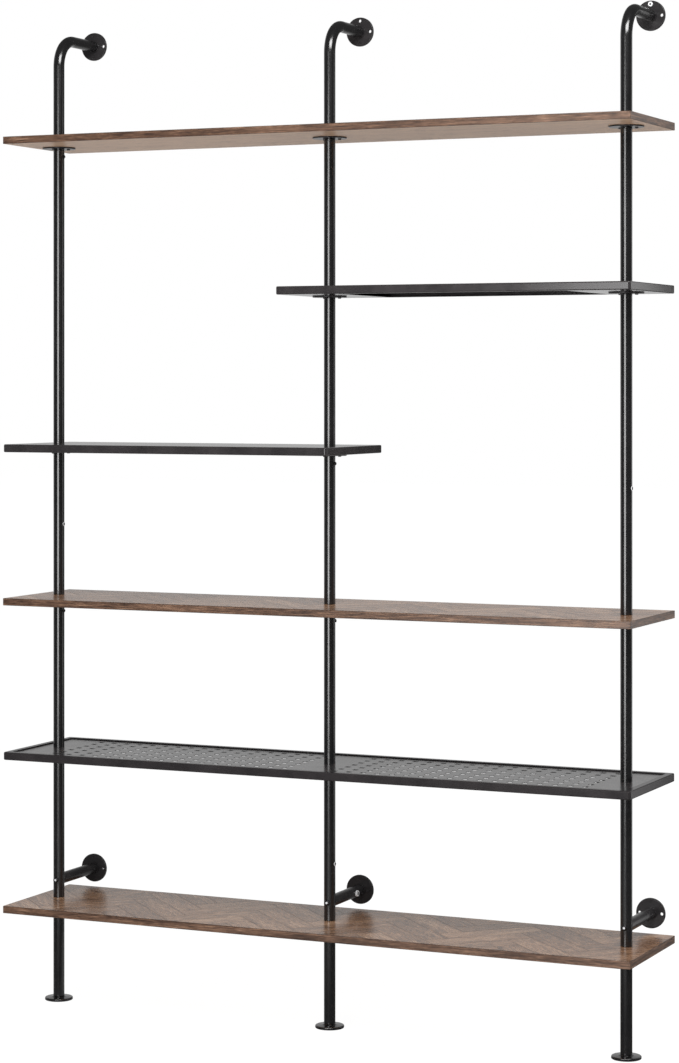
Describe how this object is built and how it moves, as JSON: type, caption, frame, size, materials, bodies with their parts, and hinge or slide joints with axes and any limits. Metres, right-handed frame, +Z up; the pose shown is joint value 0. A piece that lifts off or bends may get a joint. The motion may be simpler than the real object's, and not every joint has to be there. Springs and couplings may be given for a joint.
{
  "type": "pipe shelving unit",
  "caption": "Wall-fixed shelving unit with bent black steel tube posts, wooden boards, folded steel shelves and a perforated shelf.",
  "frame": {"origin": "on the floor, on the axis of the middle post, at the underside of its floor disc", "axes": "+Z up along the middle post, +Y towards the wall, +X along the shelves to the right seen from the front"},
  "size_m": [1.494, 0.319, 2.2514],
  "materials": {
    "post_coating": "satin black powder coating",
    "steel_sheet": "satin black powder coating on folded sheet steel",
    "bolts": "black oxide, semi-gloss",
    "wood": "matt walnut-brown wood with banded edges"
  },
  "bodies": {
    "root": {"bottom_wood_shelf": "wood", "left_floor_disc": "post_coating", "left_lower_arm": "post_coating", "left_lower_arm_bolt": "bolts", "left_lower_wall_flange": "post_coating", "left_steel_shelf": "steel_sheet", "left_support_plate_1": "post_coating", "left_support_plate_2": "post_coating", "left_support_plate_3": "post_coating", "left_support_plate_4": "post_coating", "left_support_plate_6": "post_coating", "left_top_bend": "post_coating", "left_tube_above_floor": "post_coating", "left_tube_above_shelf_1": "post_coating", "left_tube_above_shelf_2": "post_coating", "left_tube_above_shelf_3": "post_coating", "left_tube_above_shelf_4": "post_coating", "left_upper_wall_flange": "post_coating", "middle_floor_disc": "post_coating", "middle_lower_arm": "post_coating", "middle_lower_arm_bolt": "bolts", "middle_lower_wall_flange": "post_coating", "middle_support_plate_1": "post_coating", "middle_support_plate_2": "post_coating", "middle_support_plate_3": "post_coating", "middle_support_plate_4": "post_coating", "middle_support_plate_5": "post_coating", "middle_support_plate_6": "post_coating", "middle_top_bend": "post_coating", "middle_tube_above_floor": "post_coating", "middle_tube_above_shelf_1": "post_coating", "middle_tube_above_shelf_2": "post_coating", "middle_tube_above_shelf_3": "post_coating", "middle_tube_above_shelf_4": "post_coating", "middle_tube_above_shelf_5": "post_coating", "middle_upper_wall_flange": "post_coating", "middle_wood_shelf": "wood", "perforated_shelf_rim": "steel_sheet", "perforated_shelf_sheet": "steel_sheet", "right_floor_disc": "post_coating", "right_lower_arm": "post_coating", "right_lower_arm_bolt": "bolts", "right_lower_wall_flange": "post_coating", "right_steel_shelf": "steel_sheet", "right_support_plate_1": "post_coating", "right_support_plate_2": "post_coating", "right_support_plate_3": "post_coating", "right_support_plate_5": "post_coating", "right_support_plate_6": "post_coating", "right_top_bend": "post_coating", "right_tube_above_floor": "post_coating", "right_tube_above_shelf_1": "post_coating", "right_tube_above_shelf_2": "post_coating", "right_tube_above_shelf_3": "post_coating", "right_tube_above_shelf_5": "post_coating", "right_upper_wall_flange": "post_coating", "top_wood_shelf": "wood"}
  },
  "joints": []
}
